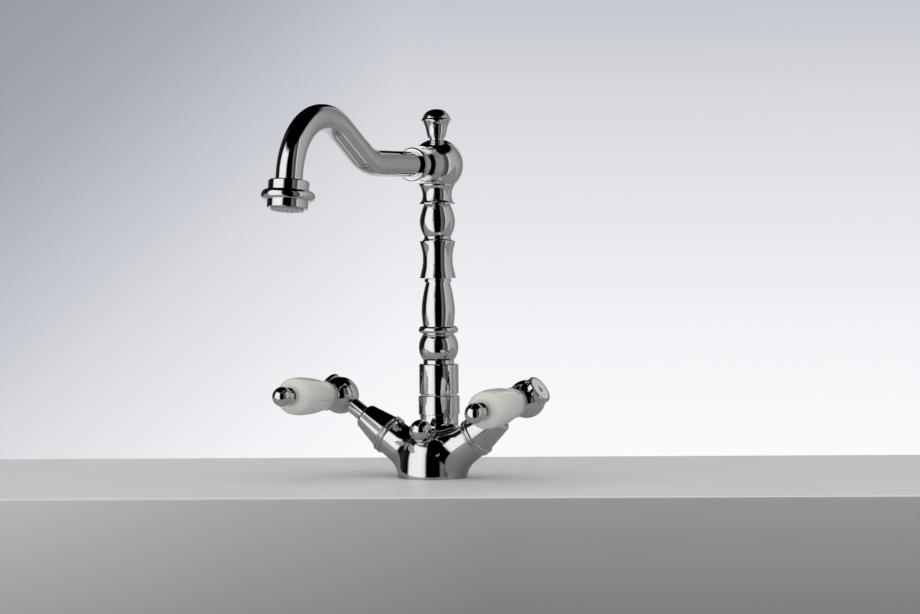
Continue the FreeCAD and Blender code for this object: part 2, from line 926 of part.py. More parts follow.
def fixed_disc(side):
    """The still ceramic disc, with its two ports."""
    top = fixed_disc_bottom + disc_thickness
    disc = plug(disc_radius, fixed_disc_bottom, top).cut(ports(fixed_disc_bottom, top))
    return on_arm(disc, side)


def moving_disc(side):
    """The ceramic disc that turns with the spindle."""
    disc = plug(disc_radius, moving_disc_bottom, moving_disc_top)
    return on_arm(disc.cut(ports(moving_disc_bottom, moving_disc_top)), side)


def cartridge_seal(side):
    """The rubber seat under the valve."""
    bottom = valve_seat - valve_bore_depth
    radius = valve_bore_radius - slip_fit
    return on_arm(tube(radius, radius - valve_seal_wall, bottom, valve_foot), side)


# Handles


def spindle(side):
    """The brass spindle, from the moving disc up into the hub's stem."""
    body = plug(spindle_radius, moving_disc_top, spindle_top)
    thread = plug(handle_screw_radius, spindle_top - handle_screw_length, spindle_top + cut_overrun)
    return on_arm(body.cut(thread), side)


def hub(side):
    """The round hub and its stem, bored for the spindle, the screw and the lever's stud."""
    stem_foot = ring_width / 2 + bonnet_length - stem_cover
    stem = plug(stem_radius, stem_foot - hub_distance, 0)
    body = Part.makeSphere(hub_radius).fuse(stem).removeSplitter()
    body = body.cut(plug(hub_radius, cap_seat, hub_radius + cut_overrun))
    lever_face = turned_to(
        plug(hub_radius, lever_seat, hub_radius + cut_overrun), Vector(1, 0, 0), 90
    )
    rest_turn = lever_rest_tilt_right if side > 0 else lever_rest_tilt_left
    stud_hole = turned_to(
        plug(lever_stud_radius, lever_stud_root, hub_radius), Vector(1, 0, 0), 90
    )
    screw_seat = cap_seat - cap_spigot_length - handle_screw_head_height
    cuts = [
        turned_to(lever_face, up, rest_turn),
        turned_to(stud_hole, up, rest_turn),
        plug(spindle_radius + shaft_fit, stem_foot - hub_distance - cut_overrun, spindle_top - hub_distance),
        plug(handle_screw_radius + slip_fit, -hub_radius - cut_overrun, cap_seat),
        plug(cap_spigot_radius, screw_seat, cap_seat + cut_overrun),
    ]
    return on_arm(body.cut(cuts), side, hub_distance)


def handle_screw(side):
    """The screw that draws the hub on to the spindle."""
    head_bottom = cap_seat - cap_spigot_length - handle_screw_head_height
    shank = plug(handle_screw_radius, spindle_top - hub_distance - handle_screw_length / 2, head_bottom)
    head = plug(handle_screw_head_radius, head_bottom, head_bottom + handle_screw_head_height)
    screw = shank.fuse(head).removeSplitter()
    across = handle_screw_head_radius / 2
    corners = [
        Vector(across * math.cos(math.radians(60 * step)), across * math.sin(math.radians(60 * step)), 0)
        for step in range(7)
    ]
    socket = Part.Face(Part.makePolygon(corners)).extrude(Vector(0, 0, handle_screw_socket))
    top = head_bottom + handle_screw_head_height - handle_screw_socket
    return on_arm(screw.cut(moved(socket, Vector(0, 0, top))), side, hub_distance)


def cap_bezel(side):
    """The chrome cap on the hub's end, recessed for the index disc, with a push-in spigot."""
    top = cap_seat + cap_height
    spigot = cap_spigot_radius - slip_fit
    cap = turned(
        chain(
            (spigot, cap_seat - cap_spigot_length),
            (spigot, cap_seat),
            (cap_neck_radius, cap_seat),
            (cap_neck_radius, cap_seat + cap_neck_height),
            (cap_radius, cap_seat + cap_neck_height),
            (cap_radius, top - cap_edge),
            (cap_radius - cap_edge, top),
        )
    )
    cap = cap.cut(plug(index_radius + slip_fit, top - index_sink - index_thickness, top + cut_overrun))
    return on_arm(cap, side, hub_distance)


def index_disc(side):
    """The porcelain index disc in the cap."""
    top = cap_seat + cap_height - index_sink
    return on_arm(plug(index_radius, top - index_thickness, top), side, hub_distance)


def lever_flange(side):
    """The flared flange between the hub and the grip."""
    flare = bow(
        (lever_neck_radius, lever_seat),
        ((lever_neck_radius + flange_radius) / 2 - flange_edge, flange_start - flange_edge),
        (flange_radius - flange_edge / 2, flange_start),
    )
    rim = chain(
        (flange_radius - flange_edge / 2, flange_start),
        (flange_radius, flange_start + flange_edge / 2),
        (flange_radius, grip_start - flange_edge / 2),
        (flange_radius - flange_edge / 2, grip_start),
    )
    return on_lever(turned([flare] + rim, lever_stud_radius + slip_fit), side)


def lever_grip(side):
    """The porcelain grip, an egg with its full end outwards, bored for the stud."""
    outline = smooth(scaled(grip_shares, grip_radius, grip_length, grip_start))
    return on_lever(turned([outline], lever_stud_radius + slip_fit), side)


grip_end = grip_start + grip_length
tip_seat = grip_end + ferrule_length


def lever_ferrule(side):
    """The turned ferrule between the grip and the tip."""
    band = grip_end + ferrule_band
    outline = chain((ferrule_radius, grip_end), (ferrule_radius, band))
    middle = ((ferrule_radius + ferrule_neck_radius) / 2 - ferrule_cove, (band + tip_seat) / 2)
    outline.append(bow((ferrule_radius, band), middle, (ferrule_neck_radius, tip_seat)))
    return on_lever(turned(outline, lever_stud_radius + slip_fit), side)


def lever_tip(side):
    """The ball that screws on to the stud and clamps the grip."""
    ball = moved(Part.makeSphere(tip_radius), Vector(0, 0, tip_distance))
    far = tip_distance + tip_radius + cut_overrun
    ball = ball.common(plug(tip_radius + cut_overrun, tip_seat, far))
    return on_lever(ball.cut(plug(lever_stud_radius, tip_seat - cut_overrun, tip_distance)), side)


def lever_stud(side):
    """The steel stud through the grip, from the hub to the tip."""
    return on_lever(plug(lever_stud_radius, lever_stud_root, tip_distance), side)


# Waste lift rod


def lift_knob():
    """The ball knob on the rod."""
    ball = moved(Part.makeSphere(lift_ball_radius), Vector(0, 0, lift_ball_height))
    socket = plug(lift_rod_radius, 0, lift_ball_height + lift_rod_hold / 2)
    return moved(ball.cut(socket), Vector(0, -lift_offset, 0))


def lift_rod():
    """The rod from the knob down through its guide, ending inside the base."""
    rod = plug(lift_rod_radius, lift_rod_bottom, lift_ball_height + lift_rod_hold / 2)
    return moved(rod, Vector(0, -lift_offset, 0))


def lift_rod_guide():
    """The bush that guides the rod, pushed up into the body from below."""
    bottom = lift_guide_top - lift_guide_length
    bush = tube(lift_guide_radius, lift_rod_radius + shaft_fit, bottom, lift_guide_top)
    return moved(bush, Vector(0, -lift_offset, 0))


save("mixer_body", [mixer_body()])
save("base_seal", [base_seal()])
save("swivel_collar", [swivel_collar()])
save("swivel_spigot", [swivel_spigot()])
save("swivel_seals", swivel_seals())
save("swivel_snap_ring", [swivel_snap_ring()])
level = column_foot
for name, piece, height in column_stack:
    save(name, [on_column(piece, level)])
    level += height
save("tie_tube", [tie_tube()])
save("ball_head", [ball_head()])
save("finial", [finial()])
save("spout_lock_ring", [spout_lock_ring()])
save("spout_nut", [spout_nut()])
save("spout_tube", [spout_tube()])
save("outlet_socket", [outlet_socket()])
save("outlet_ring", [outlet_ring()])
save("aerator_housing", [aerator_housing()])
save("aerator_washer", [aerator_washer()])
save("aerator_insert", [aerator_insert()])
save("lift_knob", [lift_knob()])
save("lift_rod", [lift_rod()])
save("lift_rod_guide", [lift_rod_guide()])
save("fixed_discs", [fixed_disc(-1), fixed_disc(1)])
save("cartridge_seals", [cartridge_seal(-1), cartridge_seal(1)])
for side, name in ((-1, "left"), (1, "right")):
    save("arm_ring_" + name, [arm_ring(side)])
    save("bonnet_" + name, [bonnet(side)])
    save("cartridge_" + name, [cartridge(side)])
    save("moving_disc_" + name, [moving_disc(side)])
    save("spindle_" + name, [spindle(side)])
    save("hub_" + name, [hub(side)])
    save("handle_screw_" + name, [handle_screw(side)])
    save("cap_bezel_" + name, [cap_bezel(side)])
    save("index_disc_" + name, [index_disc(side)])
    save("lever_flange_" + name, [lever_flange(side)])
    save("lever_grip_" + name, [lever_grip(side)])
    save("lever_ferrule_" + name, [lever_ferrule(side)])
    save("lever_tip_" + name, [lever_tip(side)])
    save("lever_stud_" + name, [lever_stud(side)])
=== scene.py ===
import json
import math

import bmesh
import bpy
from bpy.props import FloatProperty, FloatVectorProperty, PointerProperty
from mathutils import Matrix, Vector


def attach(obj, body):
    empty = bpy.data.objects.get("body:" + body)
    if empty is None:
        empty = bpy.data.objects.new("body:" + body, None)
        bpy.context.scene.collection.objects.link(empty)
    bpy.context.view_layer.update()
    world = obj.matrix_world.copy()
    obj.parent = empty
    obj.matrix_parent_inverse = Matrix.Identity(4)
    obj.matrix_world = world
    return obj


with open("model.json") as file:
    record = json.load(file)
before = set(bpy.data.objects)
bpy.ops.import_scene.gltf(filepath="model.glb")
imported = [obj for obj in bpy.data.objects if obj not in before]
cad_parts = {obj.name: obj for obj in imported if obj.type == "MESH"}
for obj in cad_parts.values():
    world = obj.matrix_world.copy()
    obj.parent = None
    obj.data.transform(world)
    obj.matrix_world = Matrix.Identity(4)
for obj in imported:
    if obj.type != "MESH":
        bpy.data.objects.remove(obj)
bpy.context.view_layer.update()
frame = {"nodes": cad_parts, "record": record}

bl_info = {
    "name": "Basin mixer tap",
    "version": (1, 0, 0),
    "blender": (4, 5, 0),
    "location": "View3D > Sidebar > Mixer",
    "description": "Finishes for a chrome basin mixer with porcelain levers, and its studio",
    "category": "Object",
}

SLOT_OF = {row["node"]: row["material_slot"] for row in frame["record"]["subparts"]}
JOINTS = {row["name"]: row for row in frame["record"]["behaviour"]["joints"]}

# Plain droplet marks on the index discs: how far their face lies out along the stem from the hub's
# centre, their round end's radius, their point's height, and how the sides close to it
MARK_FACE = 0.01314
MARK_RADIUS = 0.0018
MARK_POINT = 0.0040
MARK_THICKNESS = 0.00006
MARK_CORNERS = 40
MARK_NARROWING = 0.55
MARK_SHARPNESS = 4
MARK_COLOUR = (0.10, 0.10, 0.105)

# Smooth shading of the turned and cast pieces
WELD_DISTANCE = 2e-6
CREASE_ANGLE = math.radians(24)

# Slow and fine unevenness: their shares, the span of noise that counts, and the waves' height
SLOW_SHARE, FINE_SHARE = 0.7, 0.3
NOISE_LOW, NOISE_HIGH = 0.35, 0.65
WAVE_HEIGHT = 0.0002
# Scale of a finish's cloudy shade, as a share of the slow unevenness
CLOUD_SHARE = 0.6

# Finishes of the inner pieces: slot, name, colour, metallic, roughness and wave
INNER_FINISHES = (
    ("steel", "Plain steel", (0.62, 0.63, 0.64), 1.0, (0.22, 0.36), 0.05),
    ("rubber", "Black rubber", (0.03, 0.03, 0.032), 0.0, (0.55, 0.75), 0.2),
    ("alumina", "Lapped ceramic", (0.86, 0.85, 0.83), 0.0, (0.25, 0.35), 0.0),
    ("plastic", "Grey moulding", (0.42, 0.43, 0.44), 0.0, (0.25, 0.4), 0.1),
)

# Camera
SENSOR_WIDTH = 36.0
CLIP_START, CLIP_END = 0.05, 30

# Deck
DECK_HALF_LENGTH = 2.5
DECK_THICKNESS = 0.6
DECK_EDGE = 0.0015
DECK_EDGE_SEGMENTS = 3
TOP_NORMAL = 0.5
# Fall of light over the deck's sides: place in metres and level, across and by height
FALL_LEFT, FALL_RIGHT = (-0.28, 1.46), (0.042, 0.93)
FALL_TOP, FALL_BOTTOM = (0.0, 1.08), (-0.10, 0.70)
# How much of the deck top's colour polished metal mirrors; the fuller colour that the camera and
# diffuse light see is a painted sheen
MIRRORED_SHARE = 0.42

# Backdrop, from low to high: place and colour
BACKDROP = (
    (0.40, (0.97, 0.97, 0.985)), (0.429, (0.955, 0.955, 0.975)),
    (0.463, (0.896, 0.904, 0.930)), (0.504, (0.791, 0.799, 0.831)),
    (0.545, (0.686, 0.694, 0.730)), (0.572, (0.578, 0.597, 0.645)),
    (0.625, (0.408, 0.427, 0.474)), (0.66, (0.345, 0.362, 0.407)),
    (0.70, (0.30, 0.317, 0.36)),
)
# The backdrop's places rise towards its left: how steeply, from where and up to what
LEFT_SLOPE, LEFT_START, LEFT_MOST = 0.8, 0.008, 0.12

# Lamps: name, place to the left, nearer and up, distance, size, and share of the key's power
LAMPS = (
    ("key", (1.0, 0.55, 0.6), 1.6, (2.4, 2.4), 1.0),
    ("top", (0.1, 0.2, 1.0), 1.6, (3.2, 3.2), 5.0),
    ("front", (-0.5, 1.0, 0.35), 1.8, (2.0, 2.0), 1.0),
)
LAMP_AIM = (0, -0.03, 0.12)

# Studio: the bands that polished metal shows, by turn to the right of the camera in degrees,
# each with its level
BAND_LEVELS = (
    (-180, 0.60), (-157, 0.52), (-150, 0.06), (-128, 0.02), (-108, 0.005), (-95, 0.005),
    (-86, 1.00), (-50, 1.06), (-40, 1.04), (-29, 0.86), (-22, 0.0), (22, 0.0), (27, 0.18),
    (38, 0.11), (47, 0.06), (52, 0.07), (57, 0.72), (61, 0.66), (65, 0.44), (74, 0.46),
    (100, 0.40), (128, 0.28), (134, 0.22), (150, 0.25), (158, 0.55), (180, 0.60),
)
# How far up the bands reach, by height above the level in degrees, each with its share
BAND_SHARES = ((-90, 0.25), (-50, 0.35), (-35, 1.0), (40, 1.0), (48, 0.0), (90, 0.0))
# How much lower the bands end at the back than at the front, as a share of a quarter turn
BAND_DROPS = (
    (-180, 0.36), (-150, 0.33), (-128, 0.0), (104, 0.0), (152, 0.0), (165, 0.33), (180, 0.36),
)


class TapFinish(bpy.types.PropertyGroup):
    """Colours and polish of the tap's finishes."""

    chrome: FloatVectorProperty(
        name="Chrome", description="Colour of the plated pieces", subtype="COLOR",
        default=(0.79, 0.803, 0.822), min=0, max=1,
    )
    chrome_roughness: FloatProperty(
        name="Chrome roughness", description="Polish of the plated pieces",
        default=0.025, min=0, max=1, subtype="FACTOR",
    )
    porcelain: FloatVectorProperty(
        name="Porcelain", description="Colour of the glazed grips", subtype="COLOR",
        default=(0.76, 0.735, 0.685), min=0, max=1,
    )
    brass: FloatVectorProperty(
        name="Brass", description="Colour of the machined brass", subtype="COLOR",
        default=(0.76, 0.60, 0.33), min=0, max=1,
    )


class TapStudio(bpy.types.PropertyGroup):
    """Camera, floor and light."""

    azimuth: FloatProperty(
        name="Azimuth", description="The camera's turn round the tap, to the right of its front",
        default=math.radians(28.5), subtype="ANGLE",
    )
    distance: FloatProperty(
        name="Distance", description="The camera's level distance from the tap", default=2.11434,
        unit="LENGTH",
    )
    height: FloatProperty(
        name="Height", description="The camera's height above the deck", default=0.17625,
        unit="LENGTH",
    )
    turn: FloatProperty(
        name="Turn", description="The view's turn away from the tap's middle",
        default=math.radians(-0.561), subtype="ANGLE",
    )
    tilt: FloatProperty(
        name="Tilt", description="The view's tilt above the level", default=math.radians(-1.46),
        subtype="ANGLE",
    )
    roll: FloatProperty(
        name="Roll", description="The camera's roll", default=math.radians(-0.556), subtype="ANGLE",
    )
    lens: FloatProperty(name="Lens", description="Focal length in millimetres", default=115.18)
    # The deck top's colour is what the camera sees, lifted by a painted sheen; polished metal
    # mirrors a darker share of it
    floor: FloatVectorProperty(
        name="Floor", description="Colour of the deck's top", subtype="COLOR",
        default=(0.70, 0.70, 0.71), min=0, max=1,
    )
    # The deck's sides are painted darker than its top, as painted shade
    shaded_floor_side: FloatVectorProperty(
        name="Floor sides", description="Colour of the deck's sides", subtype="COLOR",
        default=(0.42, 0.42, 0.43), min=0, max=1,
    )
    floor_back: FloatProperty(
        name="Floor behind", description="How far the deck reaches behind the tap", default=0.190,
        unit="LENGTH",
    )
    floor_front: FloatProperty(
        name="Floor in front", description="How far the deck reaches in front of the tap",
        default=0.160, unit="LENGTH",
    )
    floor_turn: FloatProperty(
        name="Floor turn", description="The deck's turn out of the view, its right end nearer",
        default=math.radians(3.6), subtype="ANGLE",
    )
    fill: FloatProperty(
        name="Fill", description="Level of the even light on glazed and matt pieces", default=0.46,
        min=0,
    )
    key: FloatProperty(
        name="Key", description="Power of the large soft lamp at the left", default=5.0, min=0,
    )


def finish():
    return bpy.context.scene.tap_finish


def studio():
    return bpy.context.scene.tap_studio


# Node trees


class Tree:
    """Adds nodes to a tree and links them by socket."""

    def __init__(self, tree):
        self.tree = tree
        tree.nodes.clear()

    def node(self, kind, inputs=(), **settings):
        made = self.tree.nodes.new(kind)
        for name, value in settings.items():
            setattr(made, name, value)
        for key, value in dict(inputs).items():
            if isinstance(value, bpy.types.NodeSocket):
                self.tree.links.new(value, made.inputs[key])
            else:
                made.inputs[key].default_value = value
        return made

    def math(self, operation, *values):
        made = self.node("ShaderNodeMath", dict(enumerate(values)), operation=operation)
        return made.outputs[0]

    def ramp(self, factor, stops):
        """A colour ramp of (place, colour) stops."""
        made = self.node("ShaderNodeValToRGB", {"Fac": factor})
        elements = made.color_ramp.elements
        while len(elements) < len(stops):
            elements.new(1.0)
        for element, (place, colour) in zip(elements, stops):
            element.position = place
            element.color = (*colour, 1)
        return made.outputs["Color"]

    def grey_ramp(self, factor, stops, low, high):
        """A ramp of (place, level) stops between low and high."""
        return self.ramp(
            factor, [((place - low) / (high - low), [level] * 3) for place, level in stops]
        )


def shared_group(name, build):
    """The node group of this name, built the first time."""
    return bpy.data.node_groups.get(name) or build(name)


def uneven_group(name):
    """Slow unevenness of a surface: a mask and a normal from two noises on Object coordinates."""
    group = bpy.data.node_groups.new(name, "ShaderNodeTree")
    face = group.interface
    for name, kind, value in (
        ("Scale", "NodeSocketFloat", 60.0),
        ("Detail Scale", "NodeSocketFloat", 900.0),
        ("Low", "NodeSocketFloat", 0.0),
        ("High", "NodeSocketFloat", 1.0),
        ("Wave", "NodeSocketFloat", 0.0),
    ):
        face.new_socket(name, in_out="INPUT", socket_type=kind).default_value = value
    face.new_socket("Mask", in_out="OUTPUT", socket_type="NodeSocketFloat")
    face.new_socket("Normal", in_out="OUTPUT", socket_type="NodeSocketVector")
    tree = Tree(group)
    given = tree.node("NodeGroupInput").outputs
    place = tree.node("ShaderNodeTexCoord").outputs["Object"]
    slow = tree.node(
        "ShaderNodeTexNoise", {"Vector": place, "Scale": given["Scale"], "Detail": 2.0}
    )
    fine = tree.node(
        "ShaderNodeTexNoise", {"Vector": place, "Scale": given["Detail Scale"], "Detail": 3.0}
    )
    fine_part = tree.math("MULTIPLY", fine.outputs["Fac"], FINE_SHARE)
    both = tree.math("MULTIPLY_ADD", slow.outputs["Fac"], SLOW_SHARE, fine_part)
    mask = tree.node(
        "ShaderNodeMapRange",
        {"Value": both, "From Min": NOISE_LOW, "From Max": NOISE_HIGH, "To Min": given["Low"],
         "To Max": given["High"]},
    )
    bump = tree.node(
        "ShaderNodeBump",
        {"Strength": given["Wave"], "Distance": WAVE_HEIGHT, "Height": slow.outputs["Fac"]},
    )
    tree.node("NodeGroupOutput", {"Mask": mask.outputs[0], "Normal": bump.outputs[0]})
    return group


def shaded_colour(tree, colour, shade, scale):
    """A colour that goes a little lighter and darker in clouds."""
    place = tree.node("ShaderNodeTexCoord").outputs["Object"]
    cloud = tree.node("ShaderNodeTexNoise", {"Vector": place, "Scale": scale, "Detail": 3.0})
    mixed = tree.node("ShaderNodeMix", {"Factor": cloud.outputs["Fac"]}, data_type="RGBA")
    mixed.inputs[6].default_value = (*[part * (1 - shade) for part in colour], 1)
    mixed.inputs[7].default_value = (*[min(1, part * (1 + shade)) for part in colour], 1)
    return mixed.outputs[2]


def view_parts(tree, vector, angle):
    """X to the viewer's right, Y away and Z up, of a vector turned back by an angle."""
    turned = tree.node(
        "ShaderNodeVectorRotate", {"Vector": vector, "Angle": -angle}, rotation_type="Z_AXIS"
    )
    return tree.node("ShaderNodeSeparateXYZ", {0: turned.outputs[0]}).outputs


def fall_level(tree):
    """Level of the deck's sides, where the light falls away from the upper left of the view."""
    place = tree.node("ShaderNodeTexCoord").outputs["Object"]
    parts = view_parts(tree, place, studio().azimuth + studio().turn)
    across = tree.node(
        "ShaderNodeMapRange",
        {"Value": parts["X"], "From Min": FALL_LEFT[0], "From Max": FALL_RIGHT[0],
         "To Min": FALL_LEFT[1], "To Max": FALL_RIGHT[1]},
    )
    down = tree.node(
        "ShaderNodeMapRange",
        {"Value": parts["Z"], "From Min": FALL_BOTTOM[0], "From Max": FALL_TOP[0],
         "To Min": FALL_BOTTOM[1], "To Max": FALL_TOP[1]},
    )
    return tree.math("MULTIPLY", across.outputs[0], down.outputs[0])


def painted_sheen_level(tree):
    """Level of the deck's top: full to the camera, as a painted sheen, and lower where polished
    metal mirrors it.
    """
    mirrored = tree.node("ShaderNodeLightPath").outputs["Is Glossy Ray"]
    return tree.math("MULTIPLY_ADD", mirrored, MIRRORED_SHARE - 1, 1.0)


def make_material(name, colour, metallic=0.0, roughness=(0.3, 0.4), scale=60.0, detail=900.0,
                  wave=0.0, shade=0.0, level=None, **sockets):
    """A finish whose roughness, and colour where it has a shade, follow the uneven surface.

    A level is a function that gives a socket, which scales the shaded colour.
    """
    made = bpy.data.materials.new(name)
    made.use_nodes = True
    tree = Tree(made.node_tree)
    surface = tree.node(
        "ShaderNodeGroup", node_tree=shared_group("Uneven surface", uneven_group)
    )
    for key, value in (
        ("Scale", scale), ("Detail Scale", detail), ("Low", roughness[0]), ("High", roughness[1]),
        ("Wave", wave),
    ):
        surface.inputs[key].default_value = value
    inputs = {"Roughness": surface.outputs["Mask"], "Metallic": metallic}
    inputs["Base Color"] = (*colour, 1)
    if wave:
        inputs["Normal"] = surface.outputs["Normal"]
    if shade:
        inputs["Base Color"] = shaded_colour(tree, colour, shade, scale * CLOUD_SHARE)
    if level:
        scaled = tree.node(
            "ShaderNodeVectorMath", {0: inputs["Base Color"], "Scale": level(tree)},
            operation="SCALE",
        )
        inputs["Base Color"] = scaled.outputs[0]
    shader = tree.node("ShaderNodeBsdfPrincipled", inputs)
    for key, value in sockets.items():
        shader.inputs[key.replace("_", " ")].default_value = value
    tree.node("ShaderNodeOutputMaterial", {"Surface": shader.outputs[0]})
    return made


# Pieces


def smooth_group(name):
    """Welds a node's loose triangles and shades them smooth up to the crease angle."""
    group = bpy.data.node_groups.new(name, "GeometryNodeTree")
    group.interface.new_socket("Geometry", in_out="INPUT", socket_type="NodeSocketGeometry")
    group.interface.new_socket("Geometry", in_out="OUTPUT", socket_type="NodeSocketGeometry")
    tree = Tree(group)
    given = tree.node("NodeGroupInput")
    welded = tree.node(
        "GeometryNodeMergeByDistance", {"Geometry": given.outputs[0], "Distance": WELD_DISTANCE}
    )
    faces = tree.node(
        "GeometryNodeSetShadeSmooth", {"Geometry": welded.outputs[0], "Shade Smooth": True},
        domain="FACE",
    )
    angle = tree.node("GeometryNodeInputMeshEdgeAngle")
    flat = tree.node(
        "FunctionNodeCompare", {0: angle.outputs["Unsigned Angle"], 1: CREASE_ANGLE},
        data_type="FLOAT", operation="LESS_THAN",
    )
    edges = tree.node(
        "GeometryNodeSetShadeSmooth",
        {"Geometry": faces.outputs[0], "Shade Smooth": flat.outputs[0]},
        domain="EDGE",
    )
    tree.node("NodeGroupOutput", {0: edges.outputs[0]})
    return group


def dress(nodes, material):
    """Gives CAD nodes a finish and smooth shading."""
    group = shared_group("Smooth to creases", smooth_group)
    for name in nodes:
        node = frame["nodes"][name]
        node.data.materials.clear()
        node.data.materials.append(material)
        node.modifiers.new("Smooth", "NODES").node_group = group


def in_slot(slot):
    """The CAD nodes of a material slot."""
    return sorted(name for name, held in SLOT_OF.items() if held == slot)


class MIXER_OT_plated(bpy.types.Operator):
    """Chrome on the casting, the turned pieces, the spout and the handles"""

    bl_idname = "mixer.plated"
    bl_label = "Plated pieces"

    def execute(self, context):
        polish = finish().chrome_roughness
        chrome = make_material(
            "Chrome plate", finish().chrome, metallic=1.0,
            roughness=(polish * 0.6, polish * 1.5), scale=90.0, detail=1400.0,
        )
        cast = make_material(
            "Chrome plate on the casting", finish().chrome, metallic=1.0,
            roughness=(polish * 0.8, polish * 1.8), scale=70.0, detail=1100.0,
        )
        casting = ["mixer_body"]
        dress([name for name in in_slot("chrome") if name not in casting], chrome)
        dress(casting, cast)
        return {"FINISHED"}


class MIXER_OT_porcelain(bpy.types.Operator):
    """Glaze on the lever grips and the index discs"""

    bl_idname = "mixer.porcelain"
    bl_label = "Porcelain"

    def execute(self, context):
        glaze = make_material(
            "Ivory glaze", finish().porcelain, roughness=(0.07, 0.12), scale=45.0,
            detail=600.0, shade=0.03, Coat_Weight=0.9, Coat_Roughness=0.025, IOR=1.5,
        )
        dress(in_slot("porcelain"), glaze)
        return {"FINISHED"}


def droplet(name, outwards, upwards, place):
    """A flat droplet, point up, standing a hair proud of a face."""
    mesh = bmesh.new()
    bmesh.ops.create_circle(mesh, cap_ends=True, segments=MARK_CORNERS, radius=MARK_RADIUS)
    for corner in mesh.verts:
        rise = max(0.0, corner.co.y / MARK_RADIUS)
        corner.co.x *= 1 - rise ** 2 * MARK_NARROWING
        corner.co.y += (MARK_POINT - MARK_RADIUS) * rise ** MARK_SHARPNESS
    grown = bmesh.ops.extrude_face_region(mesh, geom=mesh.faces[:])
    top = [item for item in grown["geom"] if isinstance(item, bmesh.types.BMVert)]
    bmesh.ops.translate(mesh, vec=(0, 0, MARK_THICKNESS), verts=top)
    bmesh.ops.recalc_face_normals(mesh, faces=mesh.faces[:])
    across = upwards.cross(outwards)
    turn = Matrix((across, upwards, outwards)).transposed().to_4x4()
    bmesh.ops.transform(mesh, matrix=Matrix.Translation(place) @ turn, verts=mesh.verts)
    data = bpy.data.meshes.new(name)
    mesh.to_mesh(data)
    mesh.free()
    mark = bpy.data.objects.new(name, data)
    bpy.context.collection.objects.link(mark)
    return mark


class MIXER_OT_marks(bpy.types.Operator):
    """Plain droplet marks on the index discs"""

    bl_idname = "mixer.marks"
    bl_label = "Droplet marks"

    def execute(self, context):
        enamel = make_material(
            "Grey enamel", MARK_COLOUR, roughness=(0.25, 0.4), scale=300.0, detail=2400.0,
            shade=0.08,
        )
        for side in ("left", "right"):
            joint = JOINTS["handle_" + side + "_turn"]
            outwards = Vector(joint["axis"]).normalized()
            upwards = outwards.cross(Vector((0, 1, 0))) * (1 if outwards.x > 0 else -1)
            place = Vector(joint["pos_m"]) + outwards * MARK_FACE - upwards * (MARK_RADIUS / 2)
            mark = droplet("index_mark_" + side, outwards, upwards, place)
            mark.data.materials.append(enamel)
            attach(mark, "handle_" + side)
        return {"FINISHED"}


class MIXER_OT_inner(bpy.types.Operator):
    """Brass, steel, rubber, ceramic and plastic of the inner pieces"""

    bl_idname = "mixer.inner"
    bl_label = "Inner pieces"

    def execute(self, context):
        brass = ("brass", "Machined brass", finish().brass, 1.0, (0.18, 0.32), 0.05)
        for slot, name, colour, metallic, roughness, wave in (brass, *INNER_FINISHES):
            made = make_material(
                name, colour, metallic=metallic, roughness=roughness, wave=wave, shade=0.04
            )
            dress(in_slot(slot), made)
        return {"FINISHED"}


# Studio


def band_level(tree, parts):
    """The studio that polished metal shows: bands round the tap, dark above."""
    right = tree.math("ARCTAN2", parts["X"], tree.math("MULTIPLY", parts["Y"], -1.0))
    share = tree.math("MULTIPLY_ADD", right, 1 / math.tau, 0.5)
    bands = tree.grey_ramp(share, BAND_LEVELS, -180, 180)
    drop = tree.grey_ramp(share, BAND_DROPS, -180, 180)
    height = tree.math("MULTIPLY_ADD", tree.math("ARCSINE", parts["Z"]), 1 / math.pi, 0.5)
    above = tree.math("GREATER_THAN", parts["Z"], 0.0)
    up = tree.math("MULTIPLY_ADD", tree.math("MULTIPLY", drop, above), 0.5, height)
    reach = tree.grey_ramp(up, BAND_SHARES, -90, 90)
    return tree.math("MULTIPLY", bands, reach)


def backdrop_colour(tree, parts):
    """The camera's backdrop: pale at the deck, darker towards the upper left."""
    left = tree.math("MULTIPLY_ADD", parts["X"], -LEFT_SLOPE, -LEFT_START)
    left = tree.math("MINIMUM", tree.math("MAXIMUM", left, 0.0), LEFT_MOST)
    place = tree.math("ADD", tree.math("ADD", parts["Z"], 0.5), left)
    return tree.ramp(place, BACKDROP)


def make_world():
    """Backdrop for the camera, studio bands for gloss, even light for the rest."""
    world = bpy.data.worlds.new("Studio")
    bpy.context.scene.world = world
    world.use_nodes = True
    tree = Tree(world.node_tree)
    direction = tree.node("ShaderNodeTexCoord").outputs["Generated"]
    parts = view_parts(tree, direction, studio().azimuth)
    path = tree.node("ShaderNodeLightPath").outputs
    gloss = tree.node(
        "ShaderNodeMix", {"Factor": path["Is Glossy Ray"], 7: band_level(tree, parts)},
        data_type="RGBA",
    )
    gloss.inputs[6].default_value = (*[studio().fill] * 3, 1)
    seen = tree.node(
        "ShaderNodeMix",
        {"Factor": path["Is Camera Ray"], 6: gloss.outputs[2], 7: backdrop_colour(tree, parts)},
        data_type="RGBA",
    )
    shader = tree.node("ShaderNodeBackground", {"Color": seen.outputs[2], "Strength": 1.0})
    tree.node("ShaderNodeOutputWorld", {"Surface": shader.outputs[0]})


